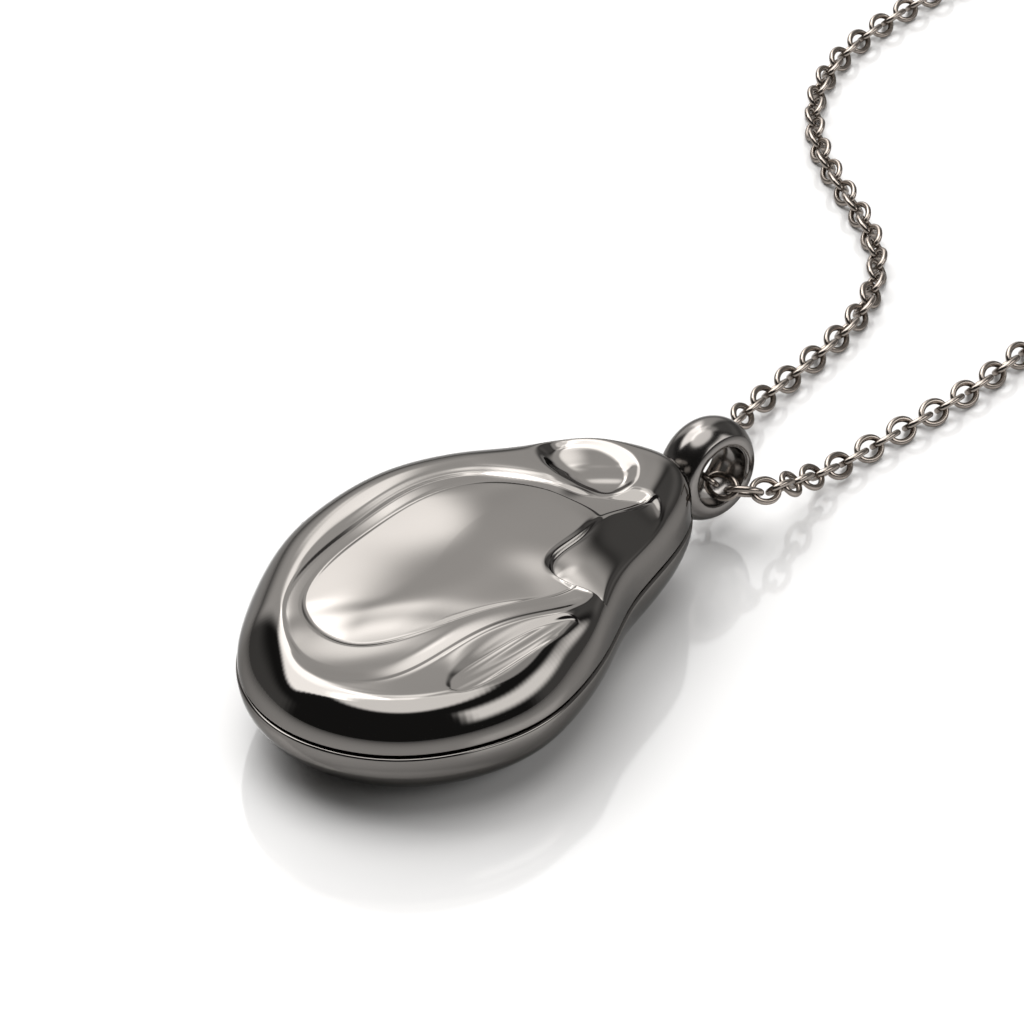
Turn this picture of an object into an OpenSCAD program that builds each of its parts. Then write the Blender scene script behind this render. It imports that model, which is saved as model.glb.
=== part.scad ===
// Solid perfume pendant: a two-part pebble compact on a ring bail, with a cable chain.
// +Y runs from the wide end to the bail, +X is the bail's hole, +Z is up.
// The origin is the middle of the flat that the compact rests on.

/* [Compact] */
// Height of the seam between base and lid
seam_z = 6.0; // [5.6:0.1:6.4]
// Open line between the base's rim and the lid's
seam_gap = 0.2; // [0.1:0.05:0.3]
// How far the base's rim stands out past the lid
rim_step = 0.1; // [0:0.05:0.2]
// Wall of the base and the lid
wall = 1.0; // [0.8:0.1:1.2]
// Floor under the well
floor_t = 1.2; // [1:0.1:1.5]
// Share of the plan that the resting flat takes
flat_share = 0.5; // [0.4:0.05:0.55]
// Height of the inner lip above the base's rim
lip_h = 0.9; // [0.6:0.1:1.1]

/* [Lid relief] */
// Height of the lid's rounded side on its far side
side_h = 4.4; // [4:0.1:4.6]
// How much lower the side is towards the near side
near_drop = 1.1; // [0.8:0.1:1.3]
// How much higher the side and the top are towards the far side
far_lift = 0.6; // [0.3:0.1:0.7]
// Width in plan over which the near side rounds to the top
side_w = 3.0; // [2.6:0.1:3.6]
// Height of the top above the side's foot, where nothing is sunk
top_h = 4.35; // [4.2:0.05:4.5]
// Depth of the fold between the island and the leaf
fold_depth = 0.3; // [0.1:0.05:0.4]
// Crown of the island above its edge
island_crown = 0.9; // [0.5:0.1:1.2]
// Slope that the neck facet gains towards the neck
facet_slope = 0.34; // [0.2:0.02:0.4]
// Depth of the notch at the facet's lower edge
notch_depth = 0.4; // [0:0.1:0.7]
// Depth of the leaf-shaped hollow
leaf_depth = 0.35; // [0.2:0.05:0.5]
// Swell of the far lobe
lobe_swell = 0.9; // [0.6:0.1:1.1]
// Depth of the dish in the far lobe
dish_depth = 0.9; // [0.4:0.1:1]

/* [Bail] */
// Outer radius of the ring bail
bail_r = 4.2; // [3.9:0.05:4.25]
// Radius of its hole
bail_hole_r = 2.5; // [2.4:0.05:2.6]
// Width of the ring along its hole
bail_w = 3.6; // [3.2:0.1:3.6]
// Radius of the post that seats it in the base
post_r = 1.2; // [1:0.1:1.2]

/* [Hinge] */
// Radius of the hinge's knuckles
knuckle_r = 0.8; // [0.75:0.05:0.9]
// Radius of the hinge's pin
pin_r = 0.35; // [0.3:0.05:0.4]
// Length of each outer knuckle
side_l = 1.8; // [1.6:0.1:2.2]
// Length of the middle knuckle
mid_l = 2.6; // [2.4:0.1:3]

/* [Chain] */
// Outer length of a link
link_l = 3.15; // [3.15:0.05:3.2]
// Outer width of a link
link_w = 2.3; // [2.2:0.1:2.4]
// Wire of a link
wire_d = 0.5; // [0.45:0.05:0.5]
// Distance from link to link
link_pitch = 1.95; // [1.9:0.05:1.95]
// Radius of the clasp ring, to the middle of its wire
clasp_r = 2.2; // [2:0.1:2.4]
// Wire of the clasp ring
clasp_wire = 0.45; // [0.4:0.05:0.5]

/* [Hidden] */

// Control points of the compact's outline, columns [x, y]
OUTLINE = [
  [14.5, -5], [13, 1], [10.5, 6.5], [7, 11.5], [5, 18], [1.5, 24.5], [-5, 24], [-9.5, 17],
  [-14, 10.5], [-15.5, 3], [-14, -5], [-9, -13], [-3.5, -17.5], [4, -18.5], [11.5, -14]];

// Control points of the edges in the lid's relief, columns [x, y]
CHANNEL = [
  [2.5, 18.5], [1, 15], [-4, 12], [-8.5, 9.5], [-10, 4], [-9, -3], [-7, -9.5], [-3.5, -13.5],
  [2, -15], [6.5, -12], [6, -6], [6.5, 0], [10.5, 6], [7.5, 14]];
ISLAND = [
  [2.5, 13.5], [-2, 12], [-7, 9.5], [-8.5, 5], [-8, -2], [-6, -8.5], [-3, -12], [2, -11.5],
  [4, -6], [5, 0], [8.5, 5.5], [5, 10.5]];
FACET = [
  [3, 26], [2.5, 20], [3, 16], [2, 13], [3.5, 10], [3.5, 6], [5.5, 5], [8, 6], [14, 7],
  [22, 10], [20, 26]];
LEAF = [[11, 4.5], [8, 0.5], [7.5, -4.5], [8.5, -9.5], [11.5, -9], [11, -4.5], [11, 0.5]];
DISH = [[-7.5, 15], [-3, 14], [1, 15], [0.5, 19], [-4.5, 20.5], [-8, 18]];
LOBE = [-5, 17.5];
LOBE_SPREAD = [5, 4.5];

// Control points of the chain's middle line, columns [x, y, z]: from the clasp along the near
// strand to the bail, through its hole, and back along the far strand
ROUTE = [
  [-25, 207, 0.9], [-7, 202, 0.9], [7, 188, 0.9], [13, 169, 0.9], [13, 149, 0.9], [8, 129, 0.9],
  [1, 110, 0.9], [-3.5, 94, 0.9], [-4.5, 79, 0.9], [-3.5, 67, 0.9], [-1.5, 57.5, 0.9], [-1.5, 49, 0.9],
  [-1, 42.5, 0.9], [-0.5, 39, 1.5], [0.5, 35, 3], [2, 32, 4.6], [1.5, 28.5, 5.1], [-1.5, 28, 5.1],
  [-5, 28.5, 5.1], [-6.5, 31.5, 4.2], [-8.5, 36, 2.8], [-11, 41, 1.4], [-12.5, 46, 1], [-14, 53, 0.9],
  [-16.5, 61.5, 0.9], [-23.5, 70, 0.9], [-36.5, 75, 0.9], [-46.5, 83.5, 0.9], [-51.5, 96, 0.9],
  [-52.5, 112, 0.9], [-58, 130, 0.9], [-63, 149, 0.9], [-64, 169, 0.9], [-57, 188, 0.9],
  [-43, 202, 0.9]];
BAIL_ROW = 17;

// Heights that the two shells share
base_top = seam_z - seam_gap / 2;
lid_bottom = seam_z + seam_gap / 2;
side_z = lid_bottom + 0.2;

// Fineness of the two shells and of the relief's edges
around = 88;
cap_rings = 22;
bowl_rings = 8;
edge_steps = 4;
route_steps = 8;

// Small breaks of edge
bevel = 0.15;
rim_drop = 0.2;
fit = 0.05;

// Uniform cubic B-spline through a closed list of control points
function bs(c, i, t) = let (
    n = len(c),
    before = c[(i + n - 1) % n],
    here = c[i % n],
    next = c[(i + 1) % n],
    after = c[(i + 2) % n])
  (before * pow(1 - t, 3) + here * (3 * pow(t, 3) - 6 * t * t + 4)
    + next * (-3 * pow(t, 3) + 3 * t * t + 3 * t + 1) + after * pow(t, 3)) / 6;
function loop_curve(c, steps) = [for (i = [0 : len(c) - 1], k = [0 : steps - 1]) bs(c, i, k / steps)];

// Distance from p to a closed polyline, positive inside it
function seg_d(p, a, b) = let (u = b - a, t = max(0, min(1, (p - a) * u / (u * u)))) norm(p - a - t * u);
function crosses(p, a, b) = (a[1] > p[1]) != (b[1] > p[1])
  && p[0] < a[0] + (p[1] - a[1]) / (b[1] - a[1]) * (b[0] - a[0]);
function edge_d(p, c) = let (
    last = len(c) - 1,
    near = min([for (i = [0 : last]) seg_d(p, c[i], c[(i + 1) % (last + 1)])]),
    hits = [for (i = [0 : last]) if (crosses(p, c[i], c[(i + 1) % (last + 1)])) i])
  len(hits) % 2 == 1 ? near : -near;

function clamp01(v) = max(0, min(1, v));
function ease(v) = let (t = clamp01(v)) t * t * t * (t * (6 * t - 15) + 10);
function share(v, span) = ease((v - span[0]) / (span[1] - span[0]));
function soft_min(a, b, k) = -k * ln(exp(-a / k) + exp(-b / k));

// Outline points and inward normals of the compact, and rings made from them
OUTER = [for (i = [0 : around - 1]) let (s = i * len(OUTLINE) / around)
  bs(OUTLINE, floor(s), s - floor(s))];
INWARD = [for (i = [0 : around - 1]) let (u = OUTER[(i + 1) % around] - OUTER[(i + around - 1) % around])
  [-u[1], u[0]] / norm(u)];
function inset(d) = [for (i = [0 : around - 1]) OUTER[i] + d * INWARD[i]];
function scaled(ring, s) = [for (p = ring) p * s];
function level(ring, z) = [for (p = ring) [p[0], p[1], z]];

channel_edge = loop_curve(CHANNEL, edge_steps);
island_edge = loop_curve(ISLAND, edge_steps);
facet_edge = loop_curve(FACET, edge_steps);
leaf_edge = loop_curve(LEAF, edge_steps);
dish_edge = loop_curve(DISH, edge_steps);

// Where each form of the lid begins and where it is whole: in mm along x or y, or towards the
// near side, which is the side that lies opposite the hinge
toward = [0.74, -0.67];
across = [0.67, 0.74];
near_span = [3, 13];
far_span = [4, -10];
left_x = [2, -5];
neck_x = [2, 5];
neck_y = [0, 6];
lift_start = [-4, 8];
lift_end = [18, 10];
fold_x = [-1, 5];
fold_y = [8, 2];
curl_x = [-3, 0];
curl_y = [10, 14];
out_span = [0.5, -0.5];
function swell(p) = let (off = [for (i = [0, 1]) (p[i] - LOBE[i]) / LOBE_SPREAD[i]]) exp(-off * off);
function near_share(p) = share(p * toward, near_span);
function far_share(p) = share(p * toward, far_span);
function left_share(p) = share(p[0], left_x);
function neck_share(p) = share(p[0], neck_x) * share(p[1], neck_y);
function fold_share(p) = share(p[0], fold_x) * share(p[1], fold_y);
function curl_share(p) = share(p[0], curl_x) * share(p[1], curl_y);
function off_facet(p) = share(edge_d(p, facet_edge), out_span);
function lift(p) = far_lift * far_share(p) * share(p[1], lift_start) * share(p[1], lift_end);

// The rounded side: wider on the left, higher on the far side and at the lobe, and upright for
// longer at the neck and on the far side
left_w = 2.0;
lobe_lift = 0.7;
side_power = 0.55;
steep_power = 0.3;
side_rise = 0.06;
function side(p, d) = let (
    turn = clamp01(d / (side_w + left_w * left_share(p) * (1 - swell(p)))),
    power = side_power + (steep_power - side_power) * max(neck_share(p), far_share(p)))
  (side_h + lift(p) - near_drop * near_share(p) + lobe_lift * swell(p)) * pow(1 - pow(1 - turn, 2), power)
    + side_rise * max(0, d - side_w);

// The channel round the island: a fine groove that widens to a fold, below a ridge that falls
// inwards, and that stops at the facet
top_drop = 0.8;
ridge_fall = 0.22;
ridge_edge = [-1.2, 0];
left_calm = 0.3;
groove_depth = 0.12;
groove_w = 0.28;
fold_w = 1.4;
neck_groove = 0.25;
function channel(p) = let (
    d = edge_d(p, channel_edge),
    w = groove_w + (fold_w - groove_w) * fold_share(p),
    depth = groove_depth + (fold_depth - groove_depth) * fold_share(p) + neck_groove * curl_share(p))
  ridge_fall * (1 - left_calm * left_share(p)) * share(d, ridge_edge)
    + off_facet(p) * depth * share(d, [-w, w]);

// The island: a crown that is highest a little off its middle, and leans with the outline
crown_top = 0.75;
crown_mid = [-1.2, 3];
crown_half = [8.5, 15];
crown_lean = 0.1;
island_edge_w = [-0.3, 0.3];
function island(p) = off_facet(p) * island_crown * share(edge_d(p, island_edge), island_edge_w) * (crown_top
  - pow((p[0] - crown_mid[0] - crown_lean * p[1]) / crown_half[0], 2)
  - pow((p[1] - crown_mid[1]) / crown_half[1], 2));

// The neck's facet: it falls from its crest to the near edge, with a notch along its lower edge
facet_step = 0.08;
facet_start = 0.08;
facet_x = 2.6;
facet_y = [6.5, 16.5];
facet_edge_w = [-0.06, 0.24];
notch_x = [3, 6];
notch_y = 5.4;
notch_fade = 1.6;
function facet(p) = share(edge_d(p, facet_edge), facet_edge_w) * (facet_step
  + (facet_start + facet_slope * share(p[1], facet_y)) * max(0, p[0] - facet_x)
  + notch_depth * share(p[0], notch_x) * exp(-max(0, p[1] - notch_y) / notch_fade));

// The two hollows: each has a crisp edge on one side and a soft one on the other, and the dish
// is deeper at its left
leaf_x = [10.5, 8];
leaf_w = [0.3, 2];
dish_x = [1, -4];
dish_w = [0.8, 1.5];
dish_tilt = 0.1;
dish_mid = 10.4;
function leaf(p) = let (w = leaf_w[0] + (leaf_w[1] - leaf_w[0]) * share(p[0], leaf_x))
  leaf_depth * share(edge_d(p, leaf_edge), [-0.4 * w, w]);
function dish(p) = let (w = dish_w[0] + (dish_w[1] - dish_w[0]) * share(p[0], dish_x))
  (dish_depth - dish_tilt * (p * across - dish_mid)) * share(edge_d(p, dish_edge), [-w, w]);

// Height of the lid's top: the lower of its rounded side and its relief
side_blend = 0.12;
function relief(p) = top_h + lift(p) - top_drop * near_share(p) + lobe_swell * swell(p)
  + island(p) - channel(p) - facet(p) - leaf(p) - dish(p);
function top_z(p) = side_z + max(0, soft_min(side(p, max(0, edge_d(p, OUTER))), relief(p), side_blend));

// Closed skin through rings of equal length, with a point at each end
module skin(rings, first, last) {
  n = len(rings[0]);
  m = len(rings);
  points = concat([first], [for (r = rings) for (p = r) p], [last]);
  faces = concat(
    [for (i = [0 : n - 1]) [0, 1 + i, 1 + (i + 1) % n]],
    [for (j = [0 : m - 2], i = [0 : n - 1]) let (a = 1 + j * n, b = a + n, k = (i + 1) % n)
      [a + i, b + i, b + k]],
    [for (j = [0 : m - 2], i = [0 : n - 1]) let (a = 1 + j * n, b = a + n, k = (i + 1) % n)
      [a + i, b + k, a + k]],
    [for (i = [0 : n - 1]) let (a = 1 + (m - 1) * n) [a + i, m * n + 1, a + (i + 1) % n]]);
  polyhedron(points, faces);
}

// The base is a quarter-ellipse bowl with a flat to rest on and a lip that the lid closes over
lip_gap = 0.15;
lip_t = 0.7;
lip_in = wall + lip_gap;
function bowl_share(a) = 1 - (1 - flat_share) * (1 - cos(a));
module base_body() {
  rim = inset(-rim_step);
  mouth = inset(lip_in + lip_t);
  tilts = [for (k = [0 : bowl_rings]) 90 * k / bowl_rings];
  skin(concat(
      [for (a = tilts) level(scaled(rim, bowl_share(90 - a)), (base_top - rim_drop) * (1 - cos(a)))],
      [level(inset(bevel), base_top), level(inset(lip_in), base_top),
        level(inset(lip_in), base_top + lip_h - bevel), level(inset(lip_in + bevel), base_top + lip_h),
        level(mouth, base_top + lip_h)],
      [for (a = tilts) level(scaled(mouth, bowl_share(a)), base_top - (base_top - floor_t) * sin(a))]),
    [0, 0, 0], [0, 0, floor_t]);
}

// The lid is a shell whose top carries the relief, with a plain crowned ceiling inside
ceiling_z = 7.8;
ceiling_rise = 1.3;
ceiling_rings = 5;
cap_power = 1.8;
function cap_share(k) = 1 - pow(k / cap_rings, cap_power);
module lid_body() {
  top = [for (k = [1 : cap_rings - 1]) [for (p = scaled(OUTER, cap_share(k))) [p[0], p[1], top_z(p)]]];
  shares = [for (k = [1 : ceiling_rings]) k / ceiling_rings];
  skin(concat(
      [for (s = shares) level(scaled(inset(wall + fit), s), ceiling_z + ceiling_rise * (1 - s * s))],
      [level(inset(wall), lid_bottom), level(inset(bevel), lid_bottom), level(OUTER, side_z)],
      top),
    [0, 0, ceiling_z + ceiling_rise], [0, 0, top_z([0, 0])]);
}

// The hinge stands beside the far edge, with its axis at the seam
hinge_y = 3;
hinge_off = 0.25;
hinge_x = min([for (p = OUTER) p[0]]) - knuckle_r - hinge_off;
knuckle_gap = 0.25;
side_y = [hinge_y - mid_l / 2 - knuckle_gap - side_l, hinge_y + mid_l / 2 + knuckle_gap];
barrel_l = mid_l + 2 * side_l + 2 * knuckle_gap;
tab_t = 0.75;
tab_l = knuckle_r + hinge_off + wall / 2;
over = 0.5;
module along_hinge(y, r, l) {
  translate([hinge_x, y, seam_z]) rotate([-90, 0, 0]) cylinder(r = r, h = l, $fn = 48);
}

// The bail stands on edge off the neck, and its post seats in a blind hole in the base
bail_x = -2.5;
bail_y = 28.45;
bail_z = 5.8;
bail_crown_r = 2.4;
post_z = 4.4;
post_y = 22.5;
post_l = 3.1;
module along_post(y, r, l) {
  translate([bail_x, y, post_z]) rotate([-90, 0, 0]) cylinder(r = r, h = l, $fn = 48);
}

module base_shell() color("#5b5652") {
  difference() {
    union() {
      base_body();
      for (y = side_y) {
        along_hinge(y, knuckle_r, side_l);
        translate([hinge_x, y, base_top - tab_t]) cube([tab_l, side_l, tab_t - bevel / 2]);
      }
    }
    for (y = side_y) along_hinge(y - over, pin_r + fit, side_l + 2 * over);
    along_post(post_y - fit, post_r + fit, post_l);
  }
}

module lid() color("#5f5a56") {
  difference() {
    union() {
      lid_body();
      along_hinge(hinge_y - mid_l / 2, knuckle_r, mid_l);
      translate([hinge_x, hinge_y - mid_l / 2, lid_bottom + bevel / 2]) cube([tab_l, mid_l, tab_t]);
    }
    along_hinge(hinge_y - mid_l / 2 - over, pin_r + fit, mid_l + 2 * over);
  }
}

module hinge_pin() color("#8a8580") along_hinge(side_y[0], pin_r, barrel_l);

module bail() color("#5b5652") {
  difference() {
    union() {
      translate([bail_x, bail_y, bail_z]) rotate([0, 90, 0]) rotate_extrude() intersection() {
        translate([bail_hole_r, -bail_w / 2]) square([bail_r - bail_hole_r, bail_w]);
        translate([bail_r - bail_crown_r, 0]) circle(r = bail_crown_r, $fn = 64);
      }
      along_post(post_y, post_r, post_l);
    }
    translate([bail_x - bail_w, bail_y, bail_z]) rotate([0, 90, 0])
      cylinder(r = bail_hole_r, h = 2 * bail_w, $fn = 64);
  }
}

// Lengths along the chain's route, from the clasp to the bail and right round
route = loop_curve(ROUTE, route_steps);
stops = concat(route, [route[0]]);
last = len(stops) - 1;
run = [for (i = 0, s = 0; i <= last; s = s + norm(stops[min(i + 1, last)] - stops[i]), i = i + 1) s];
chain_l = run[last];
bail_run = run[BAIL_ROW * route_steps];
function along(s) = [for (axis = [0 : 2]) lookup(s, [for (i = [0 : last]) [run[i], stops[i][axis]]])];

// Each strand is a whole number of links from the bail to where the last one hooks the clasp
link_gap = 0.3;
clasp_reach = clasp_r - (clasp_wire + wire_d) / 2 - link_gap + (link_l - wire_d - link_pitch) / 2;
near_run = bail_run - clasp_reach;
far_run = chain_l - bail_run - clasp_reach;
near_links = ceil(near_run / link_pitch);
far_links = ceil(far_run / link_pitch);

module link_ring() {
  bend = (link_w - wire_d) / 2;
  straight = link_l - link_w;
  for (side = [-1, 1]) {
    translate([side * straight / 2, 0, 0]) rotate([0, 0, -90 * side])
      rotate_extrude(angle = 180) translate([bend, 0]) circle(d = wire_d, $fn = 24);
    translate([-straight / 2, side * bend, 0]) rotate([0, 90, 0])
      cylinder(d = wire_d, h = straight, $fn = 24);
  }
}

// One link between two joints of the chain, turned 45 degrees to one side or the other
module link_between(a, b, side) {
  u = b - a;
  translate((a + b) / 2) rotate([0, -asin(u[2] / norm(u)), atan2(u[1], u[0])])
    rotate([45 * side, 0, 0]) link_ring();
}

// Links laid end to end along a stretch of the route, turned to alternate sides
module strand(count, step) {
  for (i = [0 : count - 1])
    link_between(along(bail_run + i * step), along(bail_run + (i + 1) * step), i % 2 == 0 ? 1 : -1);
}

module chain_right() color("#8d857e") strand(near_links, -near_run / near_links);

module chain_left() color("#8d857e") strand(far_links, far_run / far_links);

module clasp() color("#8d857e")
  translate(along(0)) rotate_extrude() translate([clasp_r, 0]) circle(d = clasp_wire, $fn = 32);

base_shell();
lid();
bail();
hinge_pin();
chain_left();
chain_right();
clasp();
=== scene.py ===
import math

import bpy
import numpy as np
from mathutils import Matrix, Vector


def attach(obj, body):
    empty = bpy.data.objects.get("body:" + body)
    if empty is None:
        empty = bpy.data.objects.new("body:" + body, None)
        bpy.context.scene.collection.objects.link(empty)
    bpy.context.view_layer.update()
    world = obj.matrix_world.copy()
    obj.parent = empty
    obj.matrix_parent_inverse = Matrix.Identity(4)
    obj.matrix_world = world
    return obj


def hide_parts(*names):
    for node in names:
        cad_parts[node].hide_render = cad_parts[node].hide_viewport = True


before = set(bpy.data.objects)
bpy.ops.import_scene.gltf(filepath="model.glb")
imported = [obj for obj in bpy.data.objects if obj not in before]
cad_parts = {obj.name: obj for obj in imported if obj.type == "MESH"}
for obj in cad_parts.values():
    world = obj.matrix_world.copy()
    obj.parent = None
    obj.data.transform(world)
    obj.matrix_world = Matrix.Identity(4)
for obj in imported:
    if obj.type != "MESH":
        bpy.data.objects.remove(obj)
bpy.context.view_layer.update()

MM = 0.001

# The compact's outline and the edges of its relief: control points in mm, columns [x, y],
# in the frame's plan, with Y from the wide end towards the bail
OUTLINE = [
    [14.5, -5], [13, 1], [10.5, 6.5], [7, 11.5], [5, 18], [1.5, 24.5], [-5, 24], [-9.5, 17],
    [-14, 10.5], [-15.5, 3], [-14, -5], [-9, -13], [-3.5, -17.5], [4, -18.5], [11.5, -14],
]
CHANNEL = [
    [2.5, 18.5], [1, 15], [-4, 12], [-8.5, 9.5], [-10, 4], [-9, -3], [-7, -9.5], [-3.5, -13.5],
    [2, -15], [6.5, -12], [6, -6], [6.5, 0], [10.5, 6], [7.5, 14],
]
ISLAND = [
    [2.5, 13.5], [-2, 12], [-7, 9.5], [-8.5, 5], [-8, -2], [-6, -8.5], [-3, -12], [2, -11.5],
    [4, -6], [5, 0], [8.5, 5.5], [5, 10.5],
]
FACET = [
    [3, 26], [2.5, 20], [3, 16], [2, 13], [3.5, 10], [3.5, 6], [5.5, 5], [8, 6], [14, 7],
    [22, 10], [20, 26],
]
LEAF = [[11, 4.5], [8, 0.5], [7.5, -4.5], [8.5, -9.5], [11.5, -9], [11, -4.5], [11, 0.5]]
DISH = [[-7.5, 15], [-3, 14], [1, 15], [0.5, 19], [-4.5, 20.5], [-8, 18]]
EDGES = {"channel": CHANNEL, "island": ISLAND, "facet": FACET, "leaf": LEAF, "dish": DISH}

# Heights, walls and fits of the compact, in mm, and the share of the rim that the bowl's flat has
SEAM_Z = 6.0
SEAM_GAP = 0.2
BASE_TOP = SEAM_Z - SEAM_GAP / 2
LID_BOTTOM = SEAM_Z + SEAM_GAP / 2
SIDE_START = 0.2
SIDE_Z = LID_BOTTOM + SIDE_START
RIM_STEP = 0.1
RIM_DROP = 0.2
WALL = 1.0
FIT = 0.05
LIP_GAP = 0.15
LIP_T = 0.7
LIP_H = 0.9
FLOOR_T = 1.2
FLAT_SHARE = 0.5
CEILING_Z = 7.8
CEILING_RISE = 1.3

# Fineness of the two shells: cells across the lid's top, steps between two control points of
# the relief and of the outline, and sides and rows of the base's bowl. The lid's cells stop at an
# inset in mm, and closer rings take over
TOP_CELLS = 264
EDGE_STEPS = 16
OUTLINE_STEPS = 64
BASE_SIDES = 720
BOWL_ROWS = 41
RIM_INSET = 0.3


def to_linear(hex_code):
    """sRGB hex colour to Blender's linear colour."""
    parts = [int(hex_code[i : i + 2], 16) / 255 for i in (1, 3, 5)]
    return tuple(v / 12.92 if v <= 0.04045 else ((v + 0.055) / 1.055) ** 2.4 for v in parts) + (1.0,)


def add_node(tree, kind, settings=None, inputs=None, links=None):
    """One shader node with its settings, its input values and its incoming links."""
    node = tree.nodes.new(kind)
    for name, value in (settings or {}).items():
        setattr(node, name, value)
    for name, value in (inputs or {}).items():
        node.inputs[name].default_value = value
    for name, source in (links or {}).items():
        tree.links.new(source, node.inputs[name])
    return node


def spline(points, steps):
    """Closed uniform cubic B-spline through a list of control points."""
    here = np.asarray(points, float)
    t = (np.arange(steps) / steps)[None, :, None]
    before, here, after, later = [np.roll(here, k, 0)[:, None] for k in (1, 0, -1, -2)]
    curve = before * (1 - t) ** 3 + here * (3 * t**3 - 6 * t * t + 4)
    curve = curve + after * (-3 * t**3 + 3 * t * t + 3 * t + 1) + later * t**3
    return (curve / 6).reshape(-1, here.shape[-1])


def edge_distance(p, curve):
    """Distance of each point to a closed curve, positive inside it."""
    near = np.full(len(p), np.inf)
    inside = np.zeros(len(p), bool)
    for a, b in zip(curve, np.roll(curve, -1, 0)):
        u = b - a
        t = np.clip(((p - a) @ u) / (u @ u), 0, 1)
        near = np.minimum(near, np.hypot(*(p - a - t[:, None] * u).T))
        if a[1] != b[1]:
            at = a[0] + (p[:, 1] - a[1]) / (b[1] - a[1]) * (b[0] - a[0])
            inside ^= ((a[1] > p[:, 1]) != (b[1] > p[:, 1])) & (p[:, 0] < at)
    return np.where(inside, near, -near)


def share(value, start, end):
    """Smooth step that is 0 at the start and 1 at the end."""
    t = np.clip((value - start) / (end - start), 0, 1)
    return t**3 * (t * (6 * t - 15) + 10)


def soft_min(a, b, k):
    """Lower of two heights, rounded over k where they cross."""
    return -k * np.logaddexp(-a / k, -b / k)


# Directions in plan: towards the camera, and across its view to the right. Then the spans in mm
# over which each form of the lid sets in, along a direction or an axis
TOWARD = np.array([0.74, -0.67])
ACROSS = np.array([0.67, 0.74])
NEAR_SPAN = (3, 13)
FAR_SPAN = (4, -10)
LEFT_X = (2, -5)
NECK_X = (2, 5)
NECK_Y = (0, 6)
LIFT_START = (-4, 8)
LIFT_END = (18, 10)
FOLD_X = (-1, 5)
FOLD_Y = (8, 2)
CURL_X = (-3, 0)
CURL_Y = (10, 14)
OUT_SPAN = (0.5, -0.5)

# The lid's rounded side, in mm: its height, its width in plan, and how fast it turns over
SIDE_H = 4.4
NEAR_DROP = 1.1
FAR_LIFT = 0.6
LOBE_LIFT = 0.7
SIDE_W = 3.0
LEFT_W = 2.0
SIDE_POWER = 0.55
STEEP_POWER = 0.3
SIDE_RISE = 0.06
SIDE_BLEND = 0.12

# The ridge and the channel inside it
TOP_H = 4.35
TOP_DROP = 0.8
RIDGE_FALL = 0.22
RIDGE_EDGE = (-1.2, 0)
LEFT_CALM = 0.3
GROOVE_DEPTH = 0.12
GROOVE_W = 0.28
FOLD_DEPTH = 0.3
FOLD_W = 1.4
NECK_GROOVE = 0.25
CURL_W = 0.3

# The island and the fine line round it
ISLAND_CROWN = 0.9
CROWN_TOP = 0.75
CROWN_MID = (-1.2, 3)
CROWN_HALF = (8.5, 15)
CROWN_LEAN = 0.1
ISLAND_EDGE = (-0.3, 0.3)
ISLAND_LINE = 0.025
ISLAND_LINE_W = 0.15

# The neck's facet and the notch along its lower edge
FACET_STEP = 0.08
FACET_START = 0.08
FACET_SLOPE = 0.34
FACET_X = 2.6
FACET_Y = (6.5, 16.5)
FACET_EDGE = (-0.06, 0.24)
NOTCH_DEPTH = 0.4
NOTCH_X = (3, 6)
NOTCH_Y = 5.4
NOTCH_FADE = 1.6

# The leaf-shaped hollow, the raised lobe and its dish, with the soft creases in their floors
LEAF_DEPTH = 0.35
LEAF_X = (10.5, 8)
LEAF_W = (0.3, 2.0)
LEAF_OUT = 0.4
LEAF_CREASE = 0.035
LEAF_FOLD = 1.4
LOBE = (-5, 17.5)
LOBE_SPREAD = (5, 4.5)
LOBE_SWELL = 0.9
DISH_DEPTH = 0.9
DISH_X = (1, -4)
DISH_W = (0.8, 1.5)
DISH_TILT = 0.1
DISH_MID = 10.4
DISH_CREASE = 0.03
DISH_FOLD = 2.0
DISH_FOLD_SPAN = (-15, -13)


def lid_height(p, depth=None):
    """Height of the lid's top above the floor, in mm, at plan points.

    Their depth inside the outline is worked out where it isn't given.
    """
    x, y = p.T
    edge = {name: edge_distance(p, spline(points, EDGE_STEPS)) for name, points in EDGES.items()}
    if depth is None:
        depth = np.maximum(0, edge_distance(p, spline(OUTLINE, EDGE_STEPS)))
    swell = np.exp(-(((x - LOBE[0]) / LOBE_SPREAD[0]) ** 2) - ((y - LOBE[1]) / LOBE_SPREAD[1]) ** 2)
    near = share(p @ TOWARD, *NEAR_SPAN)
    far = share(p @ TOWARD, *FAR_SPAN)
    left = share(x, *LEFT_X)
    lift = FAR_LIFT * far * share(y, *LIFT_START) * share(y, *LIFT_END)
    off_facet = share(edge["facet"], *OUT_SPAN)

    neck = share(x, *NECK_X) * share(y, *NECK_Y)
    turn = np.clip(depth / (SIDE_W + LEFT_W * left * (1 - swell)), 0, 1)
    power = SIDE_POWER + (STEEP_POWER - SIDE_POWER) * np.maximum(neck, far)
    side = (SIDE_H + lift - NEAR_DROP * near + LOBE_LIFT * swell) * (1 - (1 - turn) ** 2) ** power
    side = side + SIDE_RISE * np.maximum(0, depth - SIDE_W)

    top = TOP_H + lift - TOP_DROP * near + LOBE_SWELL * swell
    top = top - channel_fall(p, edge["channel"], left, off_facet)
    top = top + off_facet * island_rise(x, y, edge["island"])
    top = top - facet_fall(x, y, edge["facet"]) - leaf_fall(x, edge["leaf"]) - dish_fall(p, edge["dish"])
    return SIDE_Z + np.maximum(0, soft_min(side, top, SIDE_BLEND))


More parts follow.
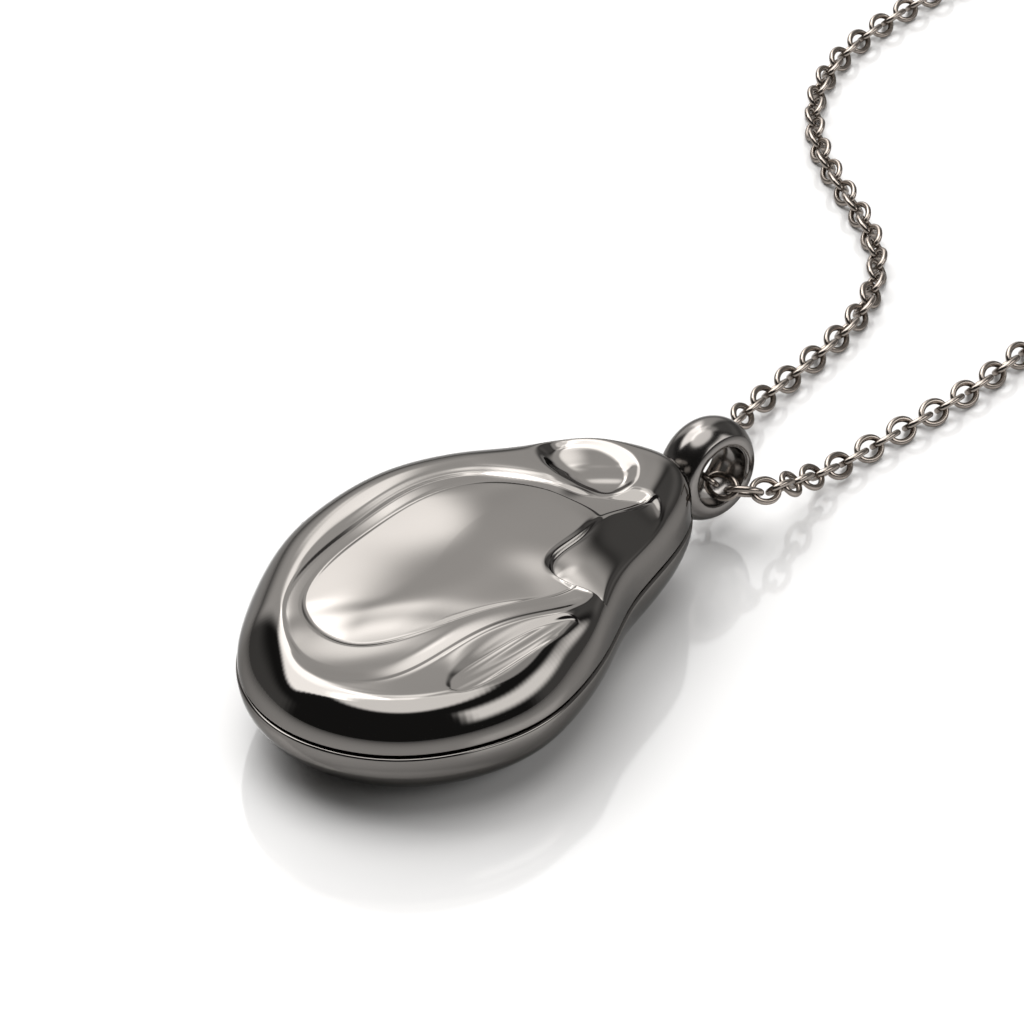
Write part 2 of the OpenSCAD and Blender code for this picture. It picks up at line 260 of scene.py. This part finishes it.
def channel_fall(p, edge, left, off_facet):
    """Depth of the channel: a fine groove that widens to a fold, below a ridge that falls inwards."""
    x, y = p.T
    fold = share(x, *FOLD_X) * share(y, *FOLD_Y)
    curl = share(x, *CURL_X) * share(y, *CURL_Y)
    width = GROOVE_W + (FOLD_W - GROOVE_W) * fold + CURL_W * curl
    groove = GROOVE_DEPTH + (FOLD_DEPTH - GROOVE_DEPTH) * fold + NECK_GROOVE * curl
    ridge = RIDGE_FALL * (1 - LEFT_CALM * left) * share(edge, *RIDGE_EDGE)
    return ridge + off_facet * groove * share(edge, -width, width)


def island_rise(x, y, edge):
    """Height of the island's crown, with the fine line along its edge."""
    across = (x - CROWN_MID[0] - CROWN_LEAN * y) / CROWN_HALF[0]
    along = (y - CROWN_MID[1]) / CROWN_HALF[1]
    crown = ISLAND_CROWN * (CROWN_TOP - across**2 - along**2) * share(edge, *ISLAND_EDGE)
    return crown - ISLAND_LINE * np.exp(-((edge / ISLAND_LINE_W) ** 2))


def facet_fall(x, y, edge):
    """Depth of the neck's facet below the island's level."""
    slope = FACET_START + FACET_SLOPE * share(y, *FACET_Y)
    notch = NOTCH_DEPTH * np.exp(-np.maximum(0, y - NOTCH_Y) / NOTCH_FADE) * share(x, *NOTCH_X)
    return (FACET_STEP + slope * np.maximum(0, x - FACET_X) + notch) * share(edge, *FACET_EDGE)


def leaf_fall(x, edge):
    """Depth of the leaf-shaped hollow, with creases along it."""
    width = LEAF_W[0] + (LEAF_W[1] - LEAF_W[0]) * share(x, *LEAF_X)
    crease = LEAF_CREASE * np.sin(2 * math.pi * x / LEAF_FOLD)
    return (LEAF_DEPTH + crease) * share(edge, -LEAF_OUT * width, width)


def dish_fall(p, edge):
    """Depth of the dish in the far lobe, deeper at its left, with creases along its near edge."""
    width = DISH_W[0] + (DISH_W[1] - DISH_W[0]) * share(p[:, 0], *DISH_X)
    toward = p @ TOWARD
    crease = DISH_CREASE * np.sin(2 * math.pi * toward / DISH_FOLD) * share(toward, *DISH_FOLD_SPAN)
    return (DISH_DEPTH - DISH_TILT * (p @ ACROSS - DISH_MID) + crease) * share(edge, -width, width)


def ring_at(angles, inset=0.0):
    """Points at polar angles on the compact's outline, moved inwards by inset."""
    fine = spline(OUTLINE, OUTLINE_STEPS)
    along = np.roll(fine, -1, 0) - np.roll(fine, 1, 0)
    inward = np.c_[-along[:, 1], along[:, 0]] / np.hypot(*along.T)[:, None]
    fine = fine + inset * inward
    a = np.unwrap(np.arctan2(fine[:, 1], fine[:, 0]))
    r = np.hypot(*fine.T)
    a = np.r_[a - 2 * math.pi, a, a + 2 * math.pi]
    at = np.interp(angles, a, np.r_[r, r, r])
    return np.c_[at * np.cos(angles), at * np.sin(angles)]


def disk_grid(cells):
    """Square grid pressed into a unit disk: radius and angle of each of its points."""
    v = np.linspace(-1, 1, cells + 1)
    a, b = np.meshgrid(v, v, indexing="xy")
    wide = np.abs(a) > np.abs(b)
    r = np.where(wide, a, b)
    safe = np.where(r == 0, 1, r)
    angle = np.where(wide, math.pi / 4 * b / safe, math.pi / 2 - math.pi / 4 * a / safe)
    return np.abs(r).ravel(), np.where(r < 0, angle + math.pi, angle).ravel()


def mesh_piece(name, verts, faces, material, body, node):
    """A named mesh piece, from points in mm, that rides on a body in the place of a node."""
    mesh = bpy.data.meshes.new(name)
    mesh.from_pydata([tuple(v) for v in np.asarray(verts) * MM], [], [tuple(f) for f in faces])
    mesh.validate()
    mesh.materials.append(material)
    mesh.polygons.foreach_set("use_smooth", [True] * len(mesh.polygons))
    piece = bpy.data.objects.new(name, mesh)
    bpy.context.scene.collection.objects.link(piece)
    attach(piece, body)
    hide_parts(node)
    return piece


def ring_faces(start_a, start_b, n):
    """Quads between two rings of n points that start at two indices."""
    i = np.arange(n)
    k = (i + 1) % n
    return np.c_[start_a + i, start_a + k, start_b + k, start_b + i]


def stack_rings(rings):
    """Points and quads of rings of equal length joined one after another."""
    n = len(rings[0])
    faces = [ring_faces(j * n, (j + 1) * n, n) for j in range(len(rings) - 1)]
    return np.vstack(rings), np.vstack(faces)


def loop_rings(rings):
    """Points and quads of rings joined one after another, and the last to the first."""
    n = len(rings[0])
    faces = [ring_faces(j * n, (j + 1) % len(rings) * n, n) for j in range(len(rings))]
    return np.vstack(rings), np.vstack(faces)


def circle(sides):
    """Cosine and sine of evenly spaced turns."""
    a = np.linspace(0, 2 * math.pi, sides, endpoint=False)
    return np.cos(a), np.sin(a)


def at_z(ring, z):
    """A plan ring at one height."""
    return np.c_[ring, np.full(len(ring), z)]


def barrel(centre, length, rows, sides=64):
    """Rings round an axis along Y, from rows of [radius, distance along the axis]."""
    c, s = circle(sides)
    x, y, z = centre
    return [np.c_[x + r * c, np.full(sides, y + along * length), z - r * s] for r, along in rows]


def block(low, high):
    """Plain closed block between two corners."""
    x, y, z = zip(low, high)
    verts = [(x[i], y[j], z[k]) for i in (0, 1) for j in (0, 1) for k in (0, 1)]
    faces = [(0, 1, 3, 2), (4, 6, 7, 5), (0, 4, 5, 1), (2, 3, 7, 6), (0, 2, 6, 4), (1, 5, 7, 3)]
    return np.array(verts, float), np.array(faces)


def join_parts(parts):
    """Several (points, faces) parts as one list of each."""
    verts, faces, start = [], [], 0
    for v, f in parts:
        verts.append(v)
        faces.extend([int(i) + start for i in face] for face in f)
        start += len(v)
    return np.vstack(verts), faces


# Hinge sizes in mm: its axis stands off the far edge of the outline at the seam
KNUCKLE_R = 0.8
BORE_R = 0.4
HINGE_Y = 3
HINGE_OFF = 0.25
HINGE_X = spline(OUTLINE, OUTLINE_STEPS)[:, 0].min() - KNUCKLE_R - HINGE_OFF
MID_L = 2.6
SIDE_L = 1.8
KNUCKLE_GAP = 0.25
KNUCKLE_BEVEL = 0.08
TAB_T = 0.75
TAB_REACH = 0.5
TAB_INSET = 0.08
TAB_BORE_GAP = 0.1


def knuckle(low_y, length):
    """Hinge knuckle along Y with its bore, its outer ends broken by a bevel."""
    low_r = KNUCKLE_R - KNUCKLE_BEVEL
    b = KNUCKLE_BEVEL / length
    rows = [(BORE_R, 0), (low_r, 0), (KNUCKLE_R, b), (KNUCKLE_R, 1 - b), (low_r, 1), (BORE_R, 1)]
    verts, faces = loop_rings(barrel((HINGE_X, low_y, SEAM_Z), length, rows))
    return verts, faces[:, ::-1]


def hinge_tab(low_y, length, low_z, high_z):
    """Tab that carries a knuckle into the shell's wall."""
    return block(
        (HINGE_X + BORE_R + TAB_BORE_GAP, low_y, low_z),
        (HINGE_X + KNUCKLE_R + HINGE_OFF + TAB_REACH, low_y + length, high_z),
    )


# Columns [inset, height] in mm: the lid's lower edge and inner wall, and the base's rim and lip,
# with their edges rounded over about 0.1 mm
LID_EDGE = [
    (0, LID_BOTTOM + 0.12), (0.04, LID_BOTTOM + 0.03), (0.14, LID_BOTTOM), (WALL, LID_BOTTOM),
    (WALL, LID_BOTTOM + 0.5), (WALL + FIT, CEILING_Z - 0.3),
]
LIP_IN = WALL + LIP_GAP
BASE_EDGE = [
    (0.02 - RIM_STEP, BASE_TOP - 0.12), (0.08 - RIM_STEP, BASE_TOP - 0.05), (0.15, BASE_TOP),
    (LIP_IN, BASE_TOP), (LIP_IN, BASE_TOP + LIP_H - 0.12), (LIP_IN + 0.12, BASE_TOP + LIP_H),
]
# Insets in mm of the rings down the lid's side, and shares of the rim that the rings of its
# ceiling and of the base's two floors have
SIDE_INSETS = (0.2, 0.13, 0.08, 0.045, 0.02, 0.005, 0.0)
CEILING_SHARES = (1.0, 0.96, 0.85, 0.65, 0.35)
FLOOR_SHARES = (0.02, 0.25)


def lid_top():
    """The lid's carved top: its points, its quads, and the indices and angles round its edge."""
    radius, angle = disk_grid(TOP_CELLS)
    plan = ring_at(angle, RIM_INSET) * radius[:, None]
    rows = TOP_CELLS + 1
    index = np.arange(rows * rows).reshape(rows, rows)
    corners = (index[:-1, :-1], index[:-1, 1:], index[1:, 1:], index[1:, :-1])
    quads = np.stack([c.ravel() for c in corners], 1)
    edge = np.r_[index[0, :-1], index[:-1, -1], index[-1, :0:-1], index[:0:-1, 0]]
    return np.c_[plan, lid_height(plan)], quads, edge, angle[edge]


def lid_rings(around):
    """Rings down the lid's rounded side, round its lower edge, and up its inner wall to the ceiling."""
    rings = []
    for inset in SIDE_INSETS:
        ring = ring_at(around, inset)
        rings.append(np.c_[ring, lid_height(ring, inset)])
    rings += [at_z(ring_at(around, inset), z) for inset, z in LID_EDGE]
    inner = ring_at(around, WALL + FIT)
    rings += [at_z(inner * s, CEILING_Z + CEILING_RISE * (1 - s * s)) for s in CEILING_SHARES]
    return rings


def lid_skin():
    """Points and faces of the lid's top and rings, closed at the middle of its ceiling."""
    top, quads, edge, around = lid_top()
    rings = lid_rings(around)
    verts = np.vstack([top] + rings + [[[0, 0, CEILING_Z + CEILING_RISE]]])
    sides = len(edge)
    first = len(top)
    here = np.arange(sides)
    ahead = (here + 1) % sides
    faces = [quads, np.c_[edge[ahead], edge[here], first + here, first + ahead]]
    for j in range(len(rings) - 1):
        upper = first + j * sides
        faces.append(ring_faces(upper + sides, upper, sides))
    faces = np.vstack(faces).tolist()
    last = first + (len(rings) - 1) * sides
    faces += [[last + b, last + a, len(verts) - 1] for a, b in zip(here, ahead)]
    return verts, faces


def lid_piece(material):
    """The lid, with the hinge's middle knuckle."""
    low_y = HINGE_Y - MID_L / 2
    tab_z = LID_BOTTOM + TAB_INSET
    tab = hinge_tab(low_y, MID_L, tab_z, tab_z + TAB_T)
    v, f = join_parts([lid_skin(), knuckle(low_y, MID_L), tab])
    return mesh_piece("lid_shell", v, f, material, "lid", "lid")


def bowl_share(a):
    """Share of the rim's radius that the bowl has at a turn from its rim to its floor."""
    return 1 - (1 - FLAT_SHARE) * (1 - math.cos(a))


def base_skin():
    """Points and faces of the base: quarter-ellipse bowl, rim, inner lip and plain well."""
    angles = np.linspace(0, 2 * math.pi, BASE_SIDES, endpoint=False)
    rim = ring_at(angles, -RIM_STEP)
    mouth = ring_at(angles, LIP_IN + LIP_T)
    rim_low = BASE_TOP - RIM_DROP
    turns = np.linspace(0, math.pi / 2, BOWL_ROWS)
    rings = [at_z(rim * s, 0) for s in FLOOR_SHARES]
    rings += [at_z(rim * bowl_share(math.pi / 2 - a), rim_low * (1 - math.cos(a))) for a in turns]
    rings += [at_z(ring_at(angles, inset), z) for inset, z in BASE_EDGE]
    rings.append(at_z(mouth, BASE_TOP + LIP_H))
    depth = BASE_TOP - FLOOR_T
    rings += [at_z(mouth * bowl_share(a), BASE_TOP - depth * math.sin(a)) for a in turns[::2]]
    rings += [at_z(mouth * s, FLOOR_T) for s in reversed(FLOOR_SHARES)]
    verts, faces = stack_rings(rings)
    faces = faces.tolist()
    faces.append(list(range(BASE_SIDES))[::-1])
    faces.append(list(range(len(verts) - BASE_SIDES, len(verts))))
    return verts, faces


def base_piece(material):
    """The base, with the hinge's two outer knuckles."""
    parts = [base_skin()]
    tab_z = BASE_TOP - TAB_INSET
    for low_y in (HINGE_Y - MID_L / 2 - KNUCKLE_GAP - SIDE_L, HINGE_Y + MID_L / 2 + KNUCKLE_GAP):
        parts.append(knuckle(low_y, SIDE_L))
        parts.append(hinge_tab(low_y, SIDE_L, tab_z - TAB_T, tab_z))
    v, f = join_parts(parts)
    return mesh_piece("base_bowl", v, f, material, "case", "base_shell")


# Bail sizes in mm: the middle of its hole, its ring, and the post that seats it in the base
BAIL = (-2.5, 28.45, 5.8)
BAIL_R = 4.2
BAIL_HOLE_R = 2.5
BAIL_W = 3.6
BAIL_CROWN_R = 2.4
BAIL_EDGE = 0.12
BAIL_EDGE_KNEE = 0.3
BAIL_SIDES = 160
CROWN_STEPS = 25
POST_Z = 4.4
POST_Y = 22.5
POST_L = 3.1
POST_R = 1.2
POST_BEVEL = 0.1
POST_CENTRE_R = 0.05


def bail_piece(material):
    """The ring bail, crowned outside and cylindrical inside, with its post."""
    half = BAIL_W / 2
    tilt = math.asin(half / BAIL_CROWN_R)
    turns = np.linspace(-tilt, tilt, CROWN_STEPS)
    middle = BAIL_R - BAIL_CROWN_R
    profile = [(middle + BAIL_CROWN_R * math.cos(a), BAIL_CROWN_R * math.sin(a)) for a in turns]
    knee = BAIL_EDGE_KNEE * BAIL_EDGE
    corner = [(BAIL_EDGE, 0), (knee, knee), (0, BAIL_EDGE)]
    profile += [(BAIL_HOLE_R + r, half - w) for r, w in corner]
    profile += [(BAIL_HOLE_R + r, w - half) for r, w in reversed(corner)]
    c, s = circle(BAIL_SIDES)
    x, y, z = BAIL
    verts, faces = loop_rings([np.c_[np.full(BAIL_SIDES, x + w), y + r * c, z + r * s] for r, w in profile])
    rows = [
        (POST_CENTRE_R, 0), (POST_R - POST_BEVEL, 0), (POST_R, POST_BEVEL / POST_L),
        (POST_R, 1), (POST_CENTRE_R, 1),
    ]
    post_verts, post_faces = stack_rings(barrel((x, POST_Y, POST_Z), POST_L, rows))
    v, f = join_parts([(verts, faces[:, ::-1]), (post_verts, post_faces[:, ::-1])])
    return mesh_piece("bail_ring", v, f, material, "case", "bail")


# The chain's middle line: control points in mm, columns [x, y, z], from the clasp along the near
# strand to the bail, through its hole, and back along the far strand
ROUTE = [
    [-25, 207, 0.9], [-7, 202, 0.9], [7, 188, 0.9], [13, 169, 0.9], [13, 149, 0.9], [8, 129, 0.9],
    [1, 110, 0.9], [-3.5, 94, 0.9], [-4.5, 79, 0.9], [-3.5, 67, 0.9], [-1.5, 57.5, 0.9],
    [-1.5, 49, 0.9], [-1, 42.5, 0.9], [-0.5, 39, 1.5], [0.5, 35, 3], [2, 32, 4.6], [1.5, 28.5, 5.1],
    [-1.5, 28, 5.1], [-5, 28.5, 5.1], [-6.5, 31.5, 4.2], [-8.5, 36, 2.8], [-11, 41, 1.4],
    [-12.5, 46, 1], [-14, 53, 0.9], [-16.5, 61.5, 0.9], [-23.5, 70, 0.9], [-36.5, 75, 0.9],
    [-46.5, 83.5, 0.9], [-51.5, 96, 0.9], [-52.5, 112, 0.9], [-58, 130, 0.9], [-63, 149, 0.9],
    [-64, 169, 0.9], [-57, 188, 0.9], [-43, 202, 0.9],
]
BAIL_ROW = 17
ROUTE_STEPS = 8

# Sizes of a link and of the clasp ring, in mm, and how finely a link is drawn
LINK_L = 3.15
LINK_W = 2.3
WIRE_D = 0.5
LINK_PITCH = 1.95
LINK_GAP = 0.3
LINK_TURN = math.radians(45)
CLASP_R = 2.2
CLASP_WIRE = 0.45
WIRE_SIDES = 14
LINK_STEPS = 36


def link_rings():
    """Rings of wire round one oval link that lies along X."""
    long, wide = (LINK_L - WIRE_D) / 2, (LINK_W - WIRE_D) / 2
    c, s = circle(WIRE_SIDES)
    rings = []
    for cos_a, sin_a in zip(*circle(LINK_STEPS)):
        out = np.array([cos_a * wide, sin_a * long]) / math.hypot(cos_a * wide, sin_a * long)
        reach = WIRE_D / 2 * c
        x, y = long * cos_a + reach * out[0], wide * sin_a + reach * out[1]
        rings.append(np.c_[x, y, WIRE_D / 2 * s])
    return rings


def turned(points, a, b, side):
    """Points of a link set between two joints of the chain, turned to one side about its length."""
    u = (b - a) / np.linalg.norm(b - a)
    level_turn = math.atan2(u[1], u[0])
    rise = math.asin(u[2])
    x, y, z = points.T
    c, s = math.cos(side * LINK_TURN), math.sin(side * LINK_TURN)
    y, z = c * y - s * z, s * y + c * z
    c, s = math.cos(rise), math.sin(rise)
    x, z = c * x - s * z, s * x + c * z
    c, s = math.cos(level_turn), math.sin(level_turn)
    return np.c_[c * x - s * y, s * x + c * y, z] + (a + b) / 2


def strand_piece(name, node, near_side, material):
    """One strand: links laid end to end from the bail to the clasp, turned to alternate sides."""
    stops = spline(ROUTE, ROUTE_STEPS)
    stops = np.vstack([stops, stops[:1]])
    run = np.r_[0, np.cumsum(np.linalg.norm(np.diff(stops, axis=0), axis=1))]
    bail_run = run[BAIL_ROW * ROUTE_STEPS]
    overlap = (LINK_L - WIRE_D - LINK_PITCH) / 2
    clasp_reach = CLASP_R - (CLASP_WIRE + WIRE_D) / 2 - LINK_GAP + overlap
    length = (bail_run if near_side else run[-1] - bail_run) - clasp_reach
    count = math.ceil(length / LINK_PITCH)
    way = -1 if near_side else 1
    at = bail_run + way * length * np.arange(count + 1) / count
    joints = np.c_[tuple(np.interp(at, run, stops[:, axis]) for axis in range(3))]
    points, faces = loop_rings(link_rings())
    links = [
        (turned(points, a, b, 1 if i % 2 == 0 else -1), faces)
        for i, (a, b) in enumerate(zip(joints, joints[1:]))
    ]
    v, f = join_parts(links)
    return mesh_piece(name, v, f, material, "case", node)


# Size in mm of the drift in a plate's colour and gloss, and how far its roughness drifts
DRIFT_MM = 6
ROUGH_SPAN = (0.85, 1.2)


def metal(name, hex_code, worn_hex, roughness, edge_tint, grain_mm, grain_depth):
    """Polished plated metal: its colour and gloss drift a little, and a fine grain breaks its surface."""
    material = bpy.data.materials.new(name)
    material.use_nodes = True
    tree = material.node_tree
    shader = tree.nodes["Principled BSDF"]
    shader.inputs["Metallic"].default_value = 1.0
    shader.inputs["Specular Tint"].default_value = to_linear(edge_tint)
    place = add_node(tree, "ShaderNodeTexCoord").outputs["Object"]
    drift = add_node(
        tree, "ShaderNodeTexNoise", None, {"Scale": 1 / (DRIFT_MM * MM), "Detail": 2.0}, {"Vector": place}
    ).outputs["Fac"]
    colour = add_node(
        tree, "ShaderNodeMix", {"data_type": "RGBA"},
        {"A": to_linear(hex_code), "B": to_linear(worn_hex)}, {"Factor": drift},
    )
    tree.links.new(colour.outputs["Result"], shader.inputs["Base Color"])
    rough = add_node(
        tree, "ShaderNodeMapRange", None,
        {"To Min": roughness * ROUGH_SPAN[0], "To Max": roughness * ROUGH_SPAN[1]}, {"Value": drift},
    )
    tree.links.new(rough.outputs["Result"], shader.inputs["Roughness"])
    grain = add_node(
        tree, "ShaderNodeTexNoise", None, {"Scale": 1 / (grain_mm * MM), "Detail": 3.0}, {"Vector": place}
    ).outputs["Fac"]
    bump = add_node(
        tree, "ShaderNodeBump", None, {"Distance": grain_depth * MM, "Strength": 1.0}, {"Height": grain}
    )
    tree.links.new(bump.outputs["Normal"], shader.inputs["Normal"])
    return material


# The camera looks 33.5 degrees down on the floor, along +Y turned by 48 degrees towards -X, from
# a distance in mm. Its focal length is in pixels of the frame, the sensor's width in mm, and the
# near clip in metres
VIEW_AZIMUTH = math.radians(48)
VIEW_ELEVATION = math.radians(33.5)
VIEW_DISTANCE = 367.2
VIEW_FOCAL_PX = 4700
FRAME_PX = 1024
SENSOR = 36.0
CLIP_START = 0.01
LOOK_AT = (-14.45, 19.07, 0.0)


# The studio's hue, and the level of the dark between its soft boxes
STUDIO_HUE = "#fffefd"
STUDIO_FILL = 0.03

# Soft boxes round the object, seen from it, in degrees: azimuth is measured to the right from
# straight away from the camera. Columns [azimuth, elevation, half width, half height, soft edge, level]
STUDIO = [
    [-13, 32, 7, 14, 10, 2.9],
    [-48, 56, 38, 16, 10, 4.2],
    [0, 82, 200, 16, 10, 2.8],
    [-10, 32, 28, 28, 18, 1.3],
    [-6, 63, 13, 9, 8, 1.8],
    [45, 30, 20, 20, 20, 0.2],
    [25, 60, 30, 8, 12, 1.0],
    [0, 0, 100, 20, 20, 0.16],
    [108, 32, 30, 12, 16, 2.8],
]


def studio_light():
    """World light of a dark studio with a few pale soft boxes, placed by direction."""
    world = bpy.data.worlds.new("studio")
    bpy.context.scene.world = world
    world.use_nodes = True
    tree = world.node_tree
    place = add_node(tree, "ShaderNodeTexCoord")
    spun = add_node(
        tree, "ShaderNodeVectorRotate", {"rotation_type": "Z_AXIS"}, {"Angle": -VIEW_AZIMUTH},
        {"Vector": place.outputs["Generated"]},
    )
    axes = add_node(tree, "ShaderNodeSeparateXYZ", None, None, {"Vector": spun.outputs["Vector"]})
    azimuth = add_node(
        tree, "ShaderNodeMath", {"operation": "ARCTAN2"}, None,
        {0: axes.outputs["X"], 1: axes.outputs["Y"]},
    )
    elevation = add_node(tree, "ShaderNodeMath", {"operation": "ARCSINE"}, None, {0: axes.outputs["Z"]})
    total = STUDIO_FILL
    for turn, rise, half_w, half_h, edge, level in STUDIO:
        across = soft_band(tree, azimuth, turn, half_w, edge, level)
        upright = soft_band(tree, elevation, rise, half_h, edge, 1.0)
        box = add_node(tree, "ShaderNodeMath", {"operation": "MULTIPLY"}, None, {0: across, 1: upright})
        total = add_up(tree, box.outputs["Value"], total)
    tree.links.new(total, tree.nodes["Background"].inputs["Strength"])
    tree.nodes["Background"].inputs["Color"].default_value = to_linear(STUDIO_HUE)


def soft_band(tree, angle, centre, half, edge, level):
    """Level within half of a centre angle, falling to nothing across a soft edge; degrees."""
    off = add_node(
        tree, "ShaderNodeMath", {"operation": "SUBTRACT"}, {1: math.radians(centre)},
        {0: angle.outputs["Value"]},
    )
    away = add_node(tree, "ShaderNodeMath", {"operation": "ABSOLUTE"}, None, {0: off.outputs["Value"]})
    limits = {"From Min": math.radians(half + edge / 2), "From Max": math.radians(half - edge / 2)}
    band = add_node(
        tree, "ShaderNodeMapRange", {"interpolation_type": "SMOOTHERSTEP"}, limits | {"To Max": level},
        {"Value": away.outputs["Value"]},
    )
    return band.outputs["Result"]


def add_up(tree, socket, total):
    """Sum of a socket and a running total, which starts as a number."""
    if isinstance(total, float):
        node = add_node(tree, "ShaderNodeMath", {"operation": "ADD"}, {1: total}, {0: socket})
    else:
        node = add_node(tree, "ShaderNodeMath", {"operation": "ADD"}, None, {0: socket, 1: total})
    return node.outputs["Value"]


def place_camera():
    """Camera at the photograph's angle."""
    data = bpy.data.cameras.new("camera")
    data.sensor_width = SENSOR
    data.lens = VIEW_FOCAL_PX / FRAME_PX * SENSOR
    data.clip_start = CLIP_START
    camera = bpy.data.objects.new("camera", data)
    bpy.context.scene.collection.objects.link(camera)
    level = math.cos(VIEW_ELEVATION)
    up = math.sin(VIEW_ELEVATION)
    back = Vector((level * math.sin(VIEW_AZIMUTH), -level * math.cos(VIEW_AZIMUTH), up))
    camera.location = (Vector(LOOK_AT) + VIEW_DISTANCE * back) * MM
    camera.rotation_euler = (-back).to_track_quat("-Z", "Y").to_euler()
    bpy.context.scene.camera = camera


# The floor: its side in metres, how far it lies under the part in mm, its colour, and the
# roughness and refractive index that give it the photograph's soft mirror image
FLOOR_SIZE = 3.0
FLOOR_DROP = 0.02
FLOOR_HUE = "#e6e6e6"
FLOOR_ROUGHNESS = 0.08
FLOOR_IOR = 1.8


def floor_stage():
    """Pale glossy floor."""
    half = FLOOR_SIZE / 2
    mesh = bpy.data.meshes.new("floor")
    corners = [(-half, -half, 0), (half, -half, 0), (half, half, 0), (-half, half, 0)]
    mesh.from_pydata(corners, [], [(0, 1, 2, 3)])
    floor = bpy.data.objects.new("floor", mesh)
    floor.location.z = -FLOOR_DROP * MM
    bpy.context.scene.collection.objects.link(floor)
    material = bpy.data.materials.new("white_acrylic_sheet")
    material.use_nodes = True
    shader = material.node_tree.nodes["Principled BSDF"]
    shader.inputs["Base Color"].default_value = to_linear(FLOOR_HUE)
    shader.inputs["Roughness"].default_value = FLOOR_ROUGHNESS
    shader.inputs["IOR"].default_value = FLOOR_IOR
    mesh.materials.append(material)


bpy.context.scene.view_settings.view_transform = "Standard"
place_camera()
studio_light()
floor_stage()
# Brass with a polished black ruthenium plate: a dark grey mirror, a little warm, that stays dark
# at its edges instead of turning white
plate = metal("black_ruthenium_mirror_plate", "#7e7b78", "#7a7774", 0.05, "#b8b8b8", 0.8, 0.0004)
# The bail is barrel-tumbled before the same plate: its reflections are soft
tumbled = metal("black_ruthenium_tumbled_plate", "#7e7b78", "#757270", 0.17, "#b8b8b8", 0.5, 0.0008)
# Brass wire drawn, bent and tumbled before it is plated: softer in its gloss, and lighter where it
# has rubbed. Its grain is drawn several times coarser than the real one, so that it shows
wire = metal("ruthenium_plated_wire", "#938b84", "#a0978f", 0.2, "#c0c0c0", 0.25, 0.003)
lid_piece(plate)
base_piece(plate)
bail_piece(tumbled)
strand_piece("chain_far_strand", "chain_left", False, wire)
strand_piece("chain_near_strand", "chain_right", True, wire)
for name in ("clasp", "hinge_pin"):
    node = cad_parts[name]
    node.data.materials.clear()
    node.data.materials.append(wire)
